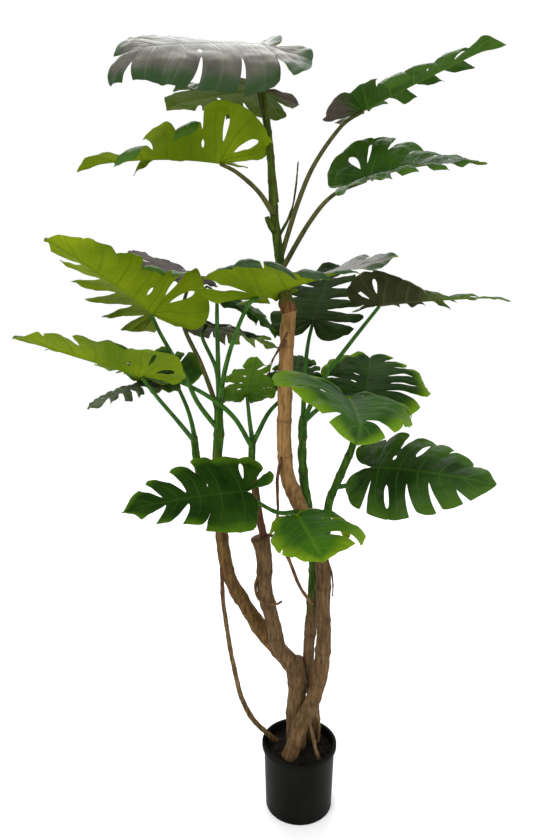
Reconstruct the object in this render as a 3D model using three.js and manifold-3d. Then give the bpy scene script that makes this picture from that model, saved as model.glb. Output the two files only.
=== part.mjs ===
// Potted monstera: a plain nursery pot, canes with hanging roots, and broad split leaves on long stalks.
// Millimetres, +Z up, origin at the centre of the pot's underside, front of the plant towards -Y.
import * as THREE from "three";
import { mergeVertices } from "three/addons/utils/BufferGeometryUtils.js";
import Module from "manifold-3d";

// Pot and soil
const potHeight = 178;
const potRimRadius = 94;
const potTopRadius = 89;
const potFootRadius = 84;
const potWall = 3;
const lipHeight = 12;
const lipEdge = 1.5;
const soilDepth = 150;
const soilCrown = 6;
const potSides = 36;

// Room left between neighbouring solids
const gap = 0.5;

// Leaf blade: thickness, how far a slit reaches in, how wide it opens at the margin, and how far behind
// the stalk a longer lobe has its whole lengthening
const bladeThickness = 2;
const slitPlaces = [0.15, 0.27, 0.39, 0.51, 0.64];
const slitStart = 0.5;
const slitOpening = 0.022;
const ribShare = 0.6;
const ribReach = 0.84;
const veinSweep = 0.16;
const bladeRows = [0, 0.5, 1];
const tailStart = 0.12;

// Heart-shaped half outline of a blade one unit long: from the tip, round the base lobe, to the stalk.
const halfOutline = new THREE.CatmullRomCurve3([
  new THREE.Vector3(1, 0, 0),
  new THREE.Vector3(0.91, 0.115, 0),
  new THREE.Vector3(0.74, 0.255, 0),
  new THREE.Vector3(0.52, 0.375, 0),
  new THREE.Vector3(0.28, 0.445, 0),
  new THREE.Vector3(0.05, 0.44, 0),
  new THREE.Vector3(-0.13, 0.36, 0),
  new THREE.Vector3(-0.225, 0.23, 0),
  new THREE.Vector3(-0.21, 0.1, 0),
  new THREE.Vector3(-0.1, 0.03, 0),
  new THREE.Vector3(0, 0, 0),
]);
const halfWidth = 0.445;

// Woody and green stems: centre line, radius at the bottom and at the top.
const stems = [
  { name: "main_cane", look: "bark", radii: [20, 16], sides: 10, steps: 16, path: [
    [-28, -34, 158], [-14, -30, 190], [9, -22, 255], [38, -10, 320], [52, -8, 392], [56, -8, 460],
    [53, -8, 567], [48, -10, 670], [-5, -10, 809], [-33, -5, 875], [-43, 0, 950], [-41, 0, 1032],
    [-39, 0, 1162], [-33, 0, 1262]] },
  { name: "trunk", look: "bark", radii: [25, 22], sides: 10, steps: 5, path: [
    [-5, 12, 158], [-8, 14, 240], [-6, 15, 320], [-14, 12, 385]] },
  { name: "left_cane", look: "bark", radii: [22, 10], sides: 10, steps: 16, path: [
    [-25, 22, 392], [-62, 22, 432], [-92, 20, 473], [-116, 18, 513], [-147, 14, 567], [-171, 8, 620],
    [-182, 4, 671], [-188, 2, 722], [-192, 0, 772], [-203, 0, 821], [-195, 0, 930], [-192, 0, 990],
    [-191, 0, 1066]] },
  { name: "stub_cane", look: "bark", radii: [17, 20], sides: 10, steps: 10, path: [
    [-24, -12, 392], [-52, -22, 450], [-66, -25, 513], [-79, -25, 567], [-88, -25, 620],
    [-87, -25, 671], [-95, -25, 738]] },
  { name: "stub_shoot", look: "bark", radii: [8.5, 7.5], sides: 6, steps: 8, path: [
    [-85, -25, 722], [-95, -22, 765], [-103, -15, 810], [-116, -8, 905], [-116, 0, 950],
    [-114, 5, 966]] },
  { name: "right_stem", look: "green", radii: [16, 9.5], sides: 8, steps: 14, path: [
    [42, 40, 158], [38, 40, 230], [34, 38, 293], [23, 34, 350], [24, 30, 432], [30, 26, 567],
    [32, 26, 671], [14, 28, 801], [4, 22, 875], [0, 15, 950], [2, 10, 1020]] },
  { name: "right_shoot", look: "green", radii: [10.5, 8], sides: 8, steps: 8, path: [
    [56, 30, 640], [60, 25, 720], [64, 10, 809], [79, 0, 858], [101, 0, 914], [114, 0, 950],
    [122, 0, 985]] },
  { name: "left_shoot", look: "green", radii: [10, 8], sides: 6, steps: 5, path: [
    [-212, 8, 800], [-232, 15, 850], [-245, 22, 905], [-252, 28, 968]] },
  { name: "upper_stem", look: "green", radii: [12, 6], sides: 8, steps: 12, path: [
    [-36, 0, 1265], [-45, 0, 1300], [-56, 0, 1382], [-67, 0, 1468], [-76, 0, 1600],
    [-88, -5, 1690], [-100, -10, 1780]] },
  { name: "sheath", look: "green", radii: [4, 1.2], sides: 6, steps: 5, path: [
    [-58, 14, 1420], [-30, 25, 1470], [-20, 30, 1520], [-15, 32, 1575]] },
];

// Aerial roots, which hang beside the canes or reach the soil.
const roots = [
  { name: "root_left_long", radii: [5, 7], sides: 6, steps: 12, path: [
    [-193, -16, 640], [-186, -22, 570], [-178, -20, 500], [-170, -20, 440], [-157, -15, 365],
    [-144, -5, 300], [-117, 10, 232], [-79, 20, 182], [-56, 29, 158]] },
  { name: "root_centre", radii: [4, 3.5], sides: 6, steps: 8, path: [
    [-60, -45, 745], [-30, -48, 690], [-5, -48, 625], [22, -46, 570]] },
  { name: "root_hanging", radii: [4, 3], sides: 6, steps: 6, path: [
    [-52, -20, 930], [-58, -30, 885], [-57, -32, 810], [-62, -34, 745]] },
  { name: "root_right", radii: [2.5, 2], sides: 6, steps: 5, path: [
    [68, -15, 690], [72, -28, 640], [74, -30, 592]] },
  { name: "root_foot_right", radii: [4.5, 4], sides: 6, steps: 6, path: [
    [22, -30, 262], [33, -45, 215], [40, -50, 185], [50, -50, 158]] },
];

// Leaves: where the stalk meets the blade, where the tip is, roll about that line, then the bends in degrees.
// arch is the droop along the midrib, fold lifts both halves from it, curl turns the margins down.
// width and tail each hold two shares, first for the half that roll lifts: how much broader that half is
// than the plain outline, and how much longer its lobe behind the stalk.
// The stalk runs through its own points and ends at the base.
const leaves = [
  { name: "top", base: [-98, -10, 1796], tip: [-378, -165, 1712],
    roll: -32, arch: 16, fold: 2, curl: 45, tail: [1.35, 1],
    stalk: null },
  { name: "crown_back", base: [-100, 60, 1724], tip: [-320, 230, 1722],
    roll: 8, arch: 12, fold: 4, curl: 20,
    stalk: [[-70, 12, 1500], [-72, 30, 1580], [-85, 45, 1650]] },
  { name: "upper_left", base: [-180, -20, 1567], tip: [-456, -120, 1545],
    roll: 14, arch: 22, fold: 27, curl: 14, tail: [1.5, 1],
    stalk: [[-68, -12, 1470], [-100, -15, 1510], [-145, -18, 1548]] },
  { name: "upper_right", base: [120, 20, 1677], tip: [384, -60, 1790],
    roll: -2, arch: 5, fold: 23, curl: 16, width: [1, 0.85],
    stalk: [[-42, 14, 1400], [-15, 18, 1490], [20, 20, 1570], [75, 20, 1645]] },
  { name: "right_high", base: [128, 5, 1536], tip: [345, -130, 1556],
    roll: 23, arch: 24, fold: 19, curl: 12, width: [0.9, 0.9], tail: [1.8, 0.6],
    stalk: [[-38, -14, 1370], [10, -12, 1450], [68, -6, 1500]] },
  { name: "left_broad", base: [-326, -60, 1258], tip: [-500, -205, 1412],
    roll: 30, arch: 12, fold: 24, curl: 15, width: [1.05, 1.05], tail: [1.7, 0.7],
    stalk: [[-200, -6, 1005], [-237, -15, 1056], [-260, -30, 1115], [-285, -45, 1165], [-310, -55, 1215]] },
  { name: "left_low", base: [-352, -60, 1124], tip: [-605, -120, 1216],
    roll: 22, arch: 2, fold: 20, curl: 12, width: [0.9, 0.9], tail: [1.3, 1],
    stalk: [[-262, 24, 968], [-285, -25, 1020], [-318, -62, 1075]] },
  { name: "left_low_back", base: [-297, 60, 1096], tip: [-440, 220, 1122],
    roll: -20, arch: 15, fold: 25, curl: 15, width: [0.85, 0.85], tail: [1, 1.2],
    stalk: [[-248, 42, 975], [-265, 48, 1020]] },
  { name: "left_drooping", base: [-362, 20, 1092], tip: [-470, -80, 1056],
    roll: 5, arch: 20, fold: 5, curl: 15,
    stalk: [[-122, -12, 960], [-160, -26, 1030], [-230, -18, 1082], [-305, 10, 1106]] },
  { name: "left_back", base: [-262, 120, 1325], tip: [-430, 285, 1392],
    roll: 4, arch: 10, fold: 4, curl: 20, width: [0.85, 0.85], tail: [0.6, 0.6],
    stalk: [[-196, 6, 1035], [-208, 14, 1075], [-234, 35, 1140], [-278, 75, 1235]] },
  { name: "centre_left_back", base: [-228, 140, 1214], tip: [-45, 200, 1150],
    roll: -14, arch: 15, fold: 5, curl: 20,
    stalk: [[-186, 10, 1055], [-200, 60, 1120], [-235, 105, 1190]] },
  { name: "centre_front", base: [-100, -100, 1297], tip: [170, -180, 1380],
    roll: -1, arch: 2, fold: 15, curl: 15, width: [1.05, 1.05], tail: [1, 1.6],
    stalk: [[-184, -12, 1060], [-172, -55, 1142], [-146, -95, 1224], [-120, -106, 1280]] },
  { name: "centre_hanging", base: [-193, 40, 1300], tip: [-60, 105, 1190],
    roll: 0, arch: 35, fold: 5, curl: 20,
    stalk: [[-191, 0, 1075], [-192, 5, 1160], [-193, 10, 1240]] },
  { name: "centre_dark", base: [25, 75, 1234], tip: [95, 280, 1360],
    roll: 0, arch: 20, fold: 4, curl: 20,
    stalk: [[-2, 22, 1030], [5, 35, 1110], [12, 48, 1180]] },
  { name: "right_long", base: [165, 0, 1272], tip: [434, -60, 1292],
    roll: -14, arch: 10, fold: 18, curl: 15, width: [0.75, 0.75],
    stalk: [[10, 5, 1030], [45, 5, 1105], [105, 5, 1190]] },
  { name: "front_large", base: [95, -90, 1078], tip: [105, -240, 1025],
    roll: -14, arch: 25, fold: 20, curl: 30, width: [1.8, 2.3], tail: [1.2, 1.2],
    stalk: [[10, -5, 1020], [35, -40, 1050], [65, -75, 1070]] },
  { name: "right_back", base: [145, 20, 1074], tip: [188, 270, 1125],
    roll: 6, arch: 10, fold: 20, curl: 30, width: [1, 1.2], tail: [1, 1.5],
    stalk: [[124, 2, 1000], [132, 8, 1040]] },
  { name: "right_low", base: [165, -20, 908], tip: [406, -140, 905],
    roll: 38, arch: 16, fold: -6, curl: 10,
    stalk: [[88, -6, 855], [118, -16, 866], [142, -20, 880]] },
  { name: "front_low", base: [-13, -100, 817], tip: [29, -250, 780],
    roll: 15, arch: 10, fold: -5, curl: 30, width: [2.2, 1.15],
    stalk: [[-5, -32, 795], [0, -62, 812]] },
  { name: "left_bottom", base: [-129, -105, 877], tip: [-387, -175, 858],
    roll: -28, arch: 12, fold: 16, curl: 12, width: [0.85, 0.85], tail: [0.4, 1.2],
    stalk: [[-28, -30, 792], [-55, -60, 812], [-98, -90, 845]] },
  { name: "small_front", base: [-128, 20, 1070], tip: [-105, -90, 1168],
    roll: 0, arch: 10, fold: 4, curl: 15,
    stalk: [[-118, 6, 968], [-122, 14, 1010]] },
  { name: "small_back", base: [-18, 90, 1084], tip: [2, 240, 1131],
    roll: 0, arch: 15, fold: 4, curl: 15,
    stalk: [[-104, 10, 970], [-80, 32, 1020], [-48, 60, 1050]] },
];
const stalkRadii = [5.5, 3.8];
const stalkSides = 6;
const stalkSteps = 7;
const stalkBelowBlade = 4;

const paints = {
  pot: { color: 0x17171a, roughness: 0.5 },
  soil: { color: 0x15120f, roughness: 0.95 },
  bark: { color: 0x6e5537, roughness: 0.85 },
  green: { color: 0x2c5a24, roughness: 0.5 },
  root: { color: 0x6b5238, roughness: 0.8 },
  blade: { color: 0x2f6a22, roughness: 0.4 },
  stalk: { color: 0x5a7028, roughness: 0.5 },
};

const wasm = await Module();
wasm.setup();

const vector = (p) => new THREE.Vector3(...p);

// A closed mesh as a solid that can be cut.
function solidOf(geometry) {
  const bare = geometry.index ? geometry.toNonIndexed() : geometry.clone();
  bare.deleteAttribute("normal");
  bare.deleteAttribute("uv");
  const merged = mergeVertices(bare, 1e-3);
  const corners = merged.index.array;
  const triVerts = [];
  for (let i = 0; i < corners.length; i += 3) {
    const [a, b, c] = [corners[i], corners[i + 1], corners[i + 2]];
    if (a !== b && b !== c && c !== a) {
      triVerts.push(a, b, c);
    }
  }
  return new wasm.Manifold(new wasm.Mesh({
    numProp: 3,
    vertProperties: merged.attributes.position.array,
    triVerts: new Uint32Array(triVerts),
  }));
}

// The solid's triangles as a three.js geometry.
function geometryOf(solid) {
  const mesh = solid.getMesh();
  const geometry = new THREE.BufferGeometry();
  geometry.setAttribute("position", new THREE.BufferAttribute(mesh.vertProperties, 3));
  geometry.setIndex(new THREE.BufferAttribute(mesh.triVerts, 1));
  geometry.computeVertexNormals();
  return geometry;
}

// A tapering round tube along a smooth line through the points, made `grow` fatter to cut a neighbour.
function tube({ path, radii, sides, steps }, grow = 0) {
  const line = new THREE.CatmullRomCurve3(path.map(vector));
  line.arcLengthDivisions = 400;
  const section = new THREE.Shape();
  for (let i = 0; i < sides; i++) {
    const angle = (2 * Math.PI * i) / sides;
    section[i ? "lineTo" : "moveTo"](Math.cos(angle), Math.sin(angle));
  }
  const geometry = new THREE.ExtrudeGeometry(section, { steps, extrudePath: line, curveSegments: 1 });
  const centres = line.getSpacedPoints(steps);
  const position = geometry.attributes.position;
  const point = new THREE.Vector3();
  for (let i = 0; i < position.count; i++) {
    point.fromBufferAttribute(position, i);
    let nearest = 0;
    centres.forEach((centre, k) => {
      if (centre.distanceToSquared(point) < centres[nearest].distanceToSquared(point)) {
        nearest = k;
      }
    });
    const radius = THREE.MathUtils.lerp(radii[0], radii[1], nearest / steps) + grow;
    point.sub(centres[nearest]).multiplyScalar(radius).add(centres[nearest]);
    position.setXYZ(i, point.x, point.y, point.z);
  }
  return geometry;
}

// A place on the flat blade: `along` runs round the half outline from the tip, `out` from midrib to margin.
function flatPlace(along, out) {
  const margin = halfOutline.getPointAt(THREE.MathUtils.clamp(along, 0, 1));
  const onRib = along < ribShare;
  const rib = new THREE.Vector3(onRib ? ribReach * (1 - along / ribShare) : 0, 0, 0);
  const sweep = onRib ? veinSweep * Math.sin((Math.PI * along) / ribShare) * margin.distanceTo(rib) : 0;
  const middle = rib.clone().add(margin).multiplyScalar(0.5).add(new THREE.Vector3(-sweep, 0.35 * sweep, 0));
  return new THREE.QuadraticBezierCurve3(rib, middle, margin).getPoint(out);
}

// The bent blade's frame: chord from base to tip, side and up directions after the roll, and its arc.
function bladeFrame({ base, tip, roll, arch, fold, curl, width = [1, 1], tail = [1, 1] }) {
  const start = vector(base);
  const chord = vector(tip).sub(start);
  const forward = chord.clone().normalize();
  const level = new THREE.Vector3(0, 0, 1).cross(forward).normalize();
  const rolled = THREE.MathUtils.degToRad(roll);
  const side = level.applyAxisAngle(forward, rolled);
  const up = forward.clone().cross(side);
  const turn = THREE.MathUtils.degToRad(Math.max(arch, 1));
  const length = (chord.length() * turn) / (2 * Math.sin(turn / 2));
  return {
    start, forward, side, up, turn, length, width, tail,
    fold: THREE.MathUtils.degToRad(fold),
    curl: THREE.MathUtils.degToRad(Math.max(curl, 1)),
  };
}

// Bends a flat place of the blade into space; hand is 1 or -1 for the two halves.
function bend(frame, flat, hand) {
  const { start, forward, side, up, turn, length, fold, curl } = frame;
  const half = hand > 0 ? 0 : 1;
  const across = length * frame.width[half];
  const behind = Math.max(0, -flat.x);
  const along = flat.x - (frame.tail[half] - 1) * behind * Math.min(1, behind / tailStart);
  const radius = length / turn;
  const angle = turn / 2 - turn * along;
  const x = radius * (Math.sin(turn / 2) - Math.sin(angle));
  const z = radius * (Math.cos(angle) - Math.cos(turn / 2));
  const bow = curl / (halfWidth * across);
  const edge = fold - bow * flat.y * across;
  const y = (Math.sin(fold) - Math.sin(edge)) / bow;
  const lift = (Math.cos(edge) - Math.cos(fold)) / bow;
  return start.clone()
    .addScaledVector(forward, x - lift * Math.sin(angle))
    .addScaledVector(up, z + lift * Math.cos(angle))
    .addScaledVector(side, hand * y);
}

// Columns of one half: a slit's two banks are separate columns that meet where the slit starts.
function bladeColumns() {
  const edges = [0, ...slitPlaces, 1];
  const columns = [];
  edges.slice(0, -1).forEach((from, lobe) => {
    const to = edges[lobe + 1];
    const cells = lobe === edges.length - 2 ? 3 : 2;
    for (let cell = 0; cell < cells; cell++) {
      columns.push([
        { from, to, share: cell / cells },
        { from, to, share: (cell + 1) / cells },
      ]);
    }
  });
  return columns;
}

// Where a column's line lies round the outline at a distance out, with the slits opened towards the margin.
function alongAt({ from, to, share }, out, spread) {
  const widening = (slitOpening / 2) * Math.max(0, (out - slitStart) / (1 - slitStart));
  const opened = Math.max(0, widening - spread);
  const low = from > 0 ? from + opened : from;
  const high = to < 1 ? to - opened : to;
  return THREE.MathUtils.lerp(low, high, share);
}

// Thin closed blade: the bent sheet, its offset copy, and walls along every open edge.
function bladeGeometry(leaf, grow = 0) {
  const frame = bladeFrame(leaf);
  const spread = grow / frame.length;
  const flats = [];
  const triangles = [];
  const seen = new Map();
  const place = (along, out, hand) => {
    const flat = flatPlace(along, out).multiplyScalar(1 + 3 * spread);
    const key = [flat.x, flat.y * hand].map((v) => (Math.round(v * 1e5) / 1e5 + 0).toFixed(5)).join(" ");
    if (!seen.has(key)) {
      seen.set(key, flats.length);
      flats.push({ flat, hand });
    }
    return seen.get(key);
  };
  const addTriangle = (a, b, c, hand) => {
    if (a !== b && b !== c && c !== a) {
      triangles.push(hand > 0 ? [a, b, c] : [a, c, b]);
    }
  };
  for (const hand of [1, -1]) {
    for (const [near, far] of bladeColumns()) {
      for (let row = 0; row < bladeRows.length - 1; row++) {
        const [inner, outer] = [bladeRows[row], bladeRows[row + 1]];
        const a = place(alongAt(near, inner, spread), inner, hand);
        const b = place(alongAt(near, outer, spread), outer, hand);
        const c = place(alongAt(far, outer, spread), outer, hand);
        const d = place(alongAt(far, inner, spread), inner, hand);
        addTriangle(a, b, c, hand);
        addTriangle(a, c, d, hand);
      }
    }
  }
  const points = flats.map(({ flat, hand }) => bend(frame, flat, hand));
  const normals = points.map(() => new THREE.Vector3());
  for (const [a, b, c] of triangles) {
    const normal = points[b].clone().sub(points[a]).cross(points[c].clone().sub(points[a]));
    [a, b, c].forEach((i) => normals[i].add(normal));
  }
  const half = bladeThickness / 2 + grow;
  const upper = points.map((p, i) => p.clone().addScaledVector(normals[i].normalize(), half));
  const lower = points.map((p, i) => p.clone().addScaledVector(normals[i], -half));
  const corners = [];
  const push = (...three) => three.forEach((p) => corners.push(p.x, p.y, p.z));
  const used = new Set(triangles.flatMap(([a, b, c]) => [`${a} ${b}`, `${b} ${c}`, `${c} ${a}`]));
  for (const [a, b, c] of triangles) {
    push(upper[a], upper[b], upper[c]);
    push(lower[a], lower[c], lower[b]);
    for (const [from, to] of [[a, b], [b, c], [c, a]]) {
      if (!used.has(`${to} ${from}`)) {
        push(upper[from], lower[from], lower[to]);
        push(upper[from], lower[to], upper[to]);
      }
    }
  }
  const geometry = new THREE.BufferGeometry();
  geometry.setAttribute("position", new THREE.Float32BufferAttribute(corners, 3));
  return geometry;
}

// The stalk's tube, which stops just under the blade.
function stalkTube(leaf) {
  const { start, up } = bladeFrame(leaf);
  const end = start.addScaledVector(up, -stalkBelowBlade);
  return {
    path: [...leaf.stalk, end.toArray()],
    radii: stalkRadii,
    sides: stalkSides,
    steps: stalkSteps,
  };
}

function potGeometry() {
  const profile = [
    [0, 0], [potFootRadius, 0], [potTopRadius, potHeight - lipHeight],
    [potRimRadius - lipEdge, potHeight - lipHeight],
    [potRimRadius, potHeight - lipHeight + lipEdge], [potRimRadius, potHeight - lipEdge],
    [potRimRadius - lipEdge, potHeight], [potTopRadius - potWall, potHeight],
    [potFootRadius - potWall, potWall], [0, potWall],
  ];
  const turned = new THREE.LatheGeometry(profile.map(([x, y]) => new THREE.Vector2(x, y)), potSides);
  return turned.rotateX(Math.PI / 2);
}

function soilGeometry(grow = 0) {
  const floor = potWall + gap;
  const top = floor + soilDepth + grow;
  const wallAt = (z) => THREE.MathUtils.lerp(potFootRadius, potTopRadius, z / potHeight) - potWall - 2 * gap;
  const profile = [
    [0, floor], [wallAt(floor), floor], [wallAt(top), top],
    [wallAt(top) / 2, top + soilCrown * 0.8], [0, top + soilCrown],
  ];
  const turned = new THREE.LatheGeometry(profile.map(([x, y]) => new THREE.Vector2(x, y)), potSides / 2);
  return turned.rotateX(Math.PI / 2);
}

const plant = new THREE.Group();
const placed = [];

// Adds a piece after cutting back what would run into the pieces before it; the largest part left is kept.
function add(name, look, make) {
  let solid = solidOf(make(0));
  const cutter = solidOf(make(gap));
  for (const other of placed) {
    if (solid.intersect(other).volume() > 0) {
      solid = solid.subtract(other);
    }
  }
  const bodies = solid.decompose().sort((a, b) => b.volume() - a.volume());
  placed.push(cutter);
  const material = new THREE.MeshStandardMaterial({ ...paints[look], metalness: 0 });
  const mesh = new THREE.Mesh(geometryOf(bodies[0]), material);
  mesh.name = name;
  plant.add(mesh);
}

add("pot", "pot", potGeometry);
add("soil", "soil", soilGeometry);
stems.forEach((stem) => add(stem.name, stem.look, (grow) => tube(stem, grow)));
roots.forEach((root) => add(root.name, "root", (grow) => tube(root, grow)));
leaves.forEach((leaf) => add(`blade_${leaf.name}`, "blade", (grow) => bladeGeometry(leaf, grow)));
leaves.filter((leaf) => leaf.stalk).forEach((leaf) => {
  add(`stalk_${leaf.name}`, "stalk", (grow) => tube(stalkTube(leaf), grow));
});

export default plant;
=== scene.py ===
import math
import random

import bpy
import numpy as np
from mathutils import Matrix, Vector, noise


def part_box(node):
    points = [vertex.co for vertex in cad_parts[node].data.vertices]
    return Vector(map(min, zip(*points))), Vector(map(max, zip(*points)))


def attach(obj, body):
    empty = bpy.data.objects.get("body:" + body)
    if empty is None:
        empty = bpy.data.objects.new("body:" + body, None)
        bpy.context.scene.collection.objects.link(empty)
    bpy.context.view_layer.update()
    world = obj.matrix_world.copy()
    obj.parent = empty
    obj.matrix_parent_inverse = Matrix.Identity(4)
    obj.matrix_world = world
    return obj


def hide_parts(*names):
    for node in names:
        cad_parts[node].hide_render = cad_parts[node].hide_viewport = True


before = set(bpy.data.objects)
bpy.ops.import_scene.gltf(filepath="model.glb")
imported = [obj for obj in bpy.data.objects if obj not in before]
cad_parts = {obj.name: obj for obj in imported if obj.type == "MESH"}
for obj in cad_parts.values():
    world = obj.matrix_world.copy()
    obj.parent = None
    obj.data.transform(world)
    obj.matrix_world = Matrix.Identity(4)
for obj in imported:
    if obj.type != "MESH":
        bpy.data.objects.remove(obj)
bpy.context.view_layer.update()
scene = bpy.context.scene
print("frame loaded:", len(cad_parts), "nodes")

# camera, floor and light, in metres, degrees and watts, the lens and its sensor in millimetres
view = {"x": -0.083, "distance": 1.6, "height": 1.381, "pitchDown": 12.94, "lens": 30.86, "sensor": 36.0}
studio = {
    "floorSize": 14.0,
    "floorColour": (0.985, 0.985, 0.982, 1),
    "floorShade": (0.95, 0.95, 0.945, 1),
    "worldColour": (1.0, 1.0, 1.0, 1),
    "worldStrength": 1.0,
    # name, place, size, power, what it looks at
    "lamps": [
        ("keySoft", (-1.6, -2.2, 3.4), 2.2, 55.0, (0.0, 0.0, 1.0)),
        ("topGlare", (-0.3, 1.7, 3.5), 2.4, 60.0, (0.0, 0.0, 1.3)),
        ("fillRight", (2.4, -1.2, 1.6), 1.8, 14.0, (0.0, 0.0, 1.1)),
    ],
}


def addObject(name, data):
    added = bpy.data.objects.new(name, data)
    scene.collection.objects.link(added)
    return added


def makeCamera():
    lens = bpy.data.cameras.new("viewCamera")
    lens.lens = view["lens"]
    lens.sensor_width = view["sensor"]
    camera = addObject("viewCamera", lens)
    camera.location = (view["x"], -view["distance"], view["height"])
    camera.rotation_euler = (math.radians(90 - view["pitchDown"]), 0, 0)
    scene.camera = camera


def makeLamp(name, place, size, power, target):
    lamp = bpy.data.lights.new(name, "AREA")
    lamp.shape = "DISK"
    lamp.size = size
    lamp.energy = power
    holder = addObject(name, lamp)
    holder.location = place
    aim = Vector(target) - Vector(place)
    holder.rotation_euler = aim.to_track_quat("-Z", "Y").to_euler()


class Wire:  # an output socket that does arithmetic
    def __init__(self, sheet, socket):
        self.sheet = sheet
        self.socket = socket

    def math(self, operation, first, second):
        return self.sheet.add("Math", {"operation": operation}, {0: first, 1: second})

    def __add__(self, other):
        return self.math("ADD", self, other)

    __radd__ = __add__

    def __sub__(self, other):
        return self.math("SUBTRACT", self, other)

    def __rsub__(self, other):
        return self.math("SUBTRACT", other, self)

    def __mul__(self, other):
        return self.math("MULTIPLY", self, other)

    __rmul__ = __mul__

    def __pow__(self, other):
        return self.math("POWER", self, other)


class Sheet:  # one material's node sheet
    def __init__(self, name):
        self.material = bpy.data.materials.new(name)
        self.material.use_nodes = True
        self.tree = self.material.node_tree
        self.tree.nodes.clear()

    def add(self, kind, settings=None, inputs=None, out=0):
        node = self.tree.nodes.new("ShaderNode" + kind)
        for key, value in (settings or {}).items():
            if key == "stops":
                setStops(node.color_ramp, list(value))
            else:
                setattr(node, key, value)
        for key, value in (inputs or {}).items():
            if isinstance(value, Wire):
                self.tree.links.new(value.socket, node.inputs[key])
            else:
                node.inputs[key].default_value = value
        return Wire(self, node.outputs[out]) if node.outputs else None

    def blend(self, share, first, second):
        return self.add("Mix", {"data_type": "RGBA"}, {0: share, 6: first, 7: second}, 2)

    def field(self, name):
        return self.add("Attribute", {"attribute_name": name}, out="Fac")

    def grain(self, scale, detail, stretch=(1, 1, 1), rough=0.55):
        place = self.add("Mapping", {}, {"Vector": self.add("TexCoord", out="Object"), "Scale": stretch})
        inputs = {"Vector": place, "Scale": scale, "Detail": detail, "Roughness": rough}
        return self.add("TexNoise", {}, inputs, "Fac")

    def ramp(self, value, stops):
        return self.add("ValToRGB", {"stops": stops}, {"Fac": value})

    def rescale(self, value, span, curve="LINEAR"):  # from 0 to 1 across the span
        inputs = {"Value": value, "From Min": span[0], "From Max": span[1]}
        return self.add("MapRange", {"interpolation_type": curve, "clamp": True}, inputs)

    def surface(self, colour, roughness, specular, relief=None, strength=0, depth=0):
        inputs = {"Base Color": colour, "Roughness": roughness, "Specular IOR Level": specular}
        if relief:
            bump = {"Height": relief, "Strength": strength, "Distance": depth}
            inputs["Normal"] = self.add("Bump", {}, bump)
        shader = self.add("BsdfPrincipled", {}, inputs)
        self.add("OutputMaterial", {}, {"Surface": shader})
        return self.material


def setStops(ramp, stops):
    while len(ramp.elements) < len(stops):
        ramp.elements.new(0.5)
    for element, (place, colour) in zip(ramp.elements, stops):
        element.position = place
        element.color = (*colour, 1)


# Leaves: the noises by scale and detail, how strongly each layer shows, and the bump by strength and depth.
# pleatShade is how strongly painted shade darkens a blade in bands along its pleats, and pleatRelief is the
# pleats' bump
leafForm = {
    "top": dict(patches=(9, 4), stops=(0.35, 0.68), pleatShade=0.18, vein=0.5, wear=(60, 3), pleatRelief=0.6,
                poreRelief=0.12, bump=(0.45, 0.0014)),
    "under": dict(patches=(8, 4), stops=(0.34, 0.7), pleatShade=0.3, vein=0.6, wear=(50, 3), pleatRelief=0.7,
                  poreRelief=0.15, bump=(0.5, 0.0016)),
    "marginNoise": (16, 3), "marginSpread": 0.2, "wearSpread": 0.12, "pores": (300, 3),
}
# Upper sides: dark and light patches, veins and margin. reach is how strong the margin's colour gets, and
# edge is where it starts and where it is full, from midrib to margin.
topFinishes = {
    "dark": dict(dark=(0.006, 0.016, 0.003), light=(0.018, 0.034, 0.007), vein=(0.03, 0.05, 0.012),
                 margin=(0.02, 0.045, 0.006), reach=0.4, roughness=0.66, specular=0.03),
    "deep": dict(dark=(0.008, 0.026, 0.003), light=(0.028, 0.075, 0.006), vein=(0.045, 0.11, 0.012),
                 margin=(0.06, 0.14, 0.006), reach=0.5, roughness=0.36, specular=0.08),
    # shade is painted shade: a darkened copy of the green upper side for leaves that sit in shade at the back
    # and underneath
    "shade": dict(dark=(0.006, 0.02, 0.002), light=(0.02, 0.055, 0.005), vein=(0.035, 0.08, 0.01),
                  margin=(0.08, 0.17, 0.006), reach=0.8, edge=(0.7, 1.1), roughness=0.56, specular=0.02),
    # rimmed is painted shade like shade, with a bright yellow-green margin that is the leaf's own
    "rimmed": dict(dark=(0.006, 0.02, 0.002), light=(0.018, 0.05, 0.004), vein=(0.035, 0.08, 0.01),
                   margin=(0.13, 0.24, 0.006), reach=0.9, edge=(0.72, 1.02), roughness=0.56, specular=0.02),
    # sheen is painted sheen: its grey-mauve colour is a painted reflection of the white surroundings on the
    # upper side, and only the margin keeps the leaf's own dark green
    "sheen": dict(dark=(0.035, 0.033, 0.024), light=(0.145, 0.135, 0.11), vein=(0.14, 0.14, 0.11),
                  margin=(0.012, 0.042, 0.005), reach=1.0, edge=(0.6, 0.92), roughness=0.38, specular=0.2),
    # greyed is an olive green greyed by painted sheen on the upper side
    "greyed": dict(dark=(0.04, 0.055, 0.026), light=(0.1, 0.125, 0.07), vein=(0.15, 0.18, 0.11),
                   margin=(0.03, 0.05, 0.015), reach=0.6, roughness=0.46, specular=0.05),
    "dusk": dict(dark=(0.022, 0.018, 0.015), light=(0.065, 0.05, 0.042), vein=(0.1, 0.085, 0.07),
                 margin=(0.03, 0.035, 0.012), reach=0.6, roughness=0.56, specular=0.04),
    "middle": dict(dark=(0.008, 0.036, 0.003), light=(0.028, 0.085, 0.006), vein=(0.07, 0.15, 0.018),
                   margin=(0.13, 0.24, 0.006), reach=0.9, edge=(0.55, 1.05), roughness=0.38, specular=0.08),
    "fresh": dict(dark=(0.012, 0.055, 0.002), light=(0.04, 0.115, 0.004), vein=(0.08, 0.17, 0.01),
                  margin=(0.15, 0.25, 0.004), reach=0.9, edge=(0.4, 1.05), roughness=0.38, specular=0.06),
}
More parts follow.
